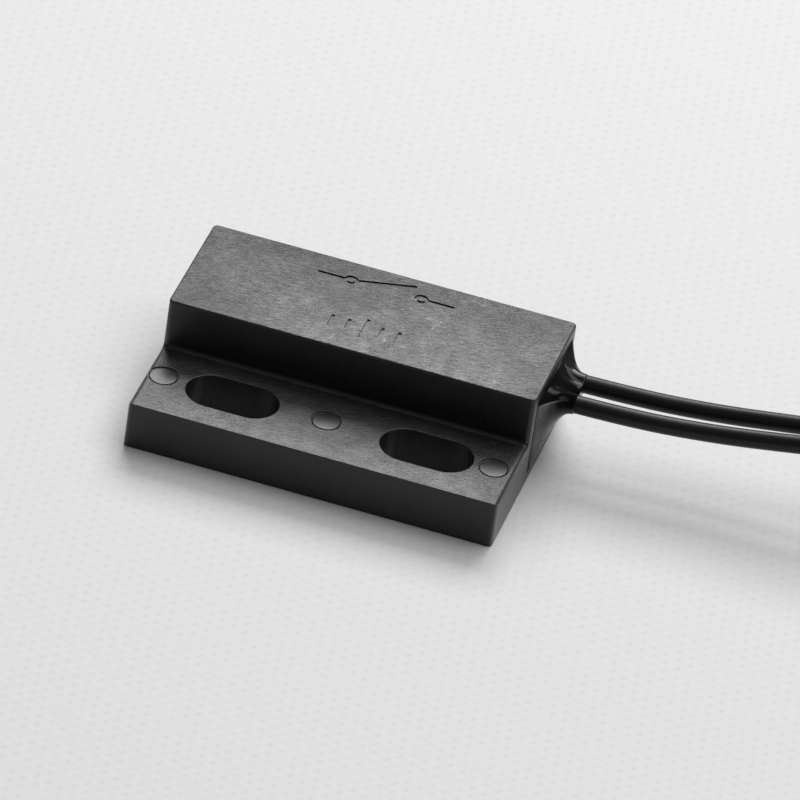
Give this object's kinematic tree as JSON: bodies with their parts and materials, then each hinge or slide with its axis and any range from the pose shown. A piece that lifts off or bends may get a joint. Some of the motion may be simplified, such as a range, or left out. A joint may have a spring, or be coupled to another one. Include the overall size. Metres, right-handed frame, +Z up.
{
  "type": "door contact sensor",
  "caption": "Flange-mount magnetic door contact, switch half: slotted black moulded housing with a raised block, potted reed switch and a pair of leads.",
  "frame": {"origin": "centre of the housing's base, on the surface that it stands on or is screwed to", "axes": "+X along the housing towards the end that the leads leave, +Y from the slotted flange to the raised block, +Z up out of the mounting surface"},
  "size_m": [0.0842, 0.0217, 0.0079],
  "materials": {
    "housing": "satin moulded PBT",
    "potting": "glossy epoxy",
    "lead_insulation": "glossy PVC",
    "tinned_copper": "tinned strands",
    "solder": "dull tin solder",
    "reed_glass": "green-tinted glass",
    "reed_metal": "nickel-iron strip",
    "contact_plating": "rhodium",
    "sleeve": "silicone tube",
    "tie": "paper-cored plastic tie"
  },
  "bodies": {
    "root": {"housing": "housing", "potting_compound": "potting", "potting_meniscus": "potting", "reed_glass": "reed_glass", "glass_sleeve": "sleeve", "reed_a_wire": "reed_metal", "lead_a_conductor": "tinned_copper", "solder_joint_a": "solder", "reed_b_wire": "reed_metal", "lead_b_conductor": "tinned_copper", "solder_joint_b": "solder", "lead_a_insulation": "lead_insulation", "lead_a_coil": "lead_insulation", "lead_a_tinned_end": "tinned_copper", "lead_b_insulation": "lead_insulation", "lead_b_coil": "lead_insulation", "lead_b_tinned_end": "tinned_copper", "coil_tie": "tie"},
    "reed_a": {"reed_a_blade": "reed_metal", "reed_a_contact": "contact_plating"},
    "reed_b": {"reed_b_blade": "reed_metal", "reed_b_contact": "contact_plating"}
  },
  "joints": [
    {"name": "reed_a_flex", "type": "hinge", "parent": "root", "child": "reed_a", "pos_m": [-0.005, 0.0072, 0.00344], "axis": [0, -1, 0], "range_deg": [0, 0.33], "stiffness_Nm_per_rad": 0.078},
    {"name": "reed_b_flex", "type": "hinge", "parent": "root", "child": "reed_b", "pos_m": [0.005, 0.0072, 0.00376], "axis": [0, -1, 0], "range_deg": [0, 0.33], "stiffness_Nm_per_rad": 0.078}
  ]
}
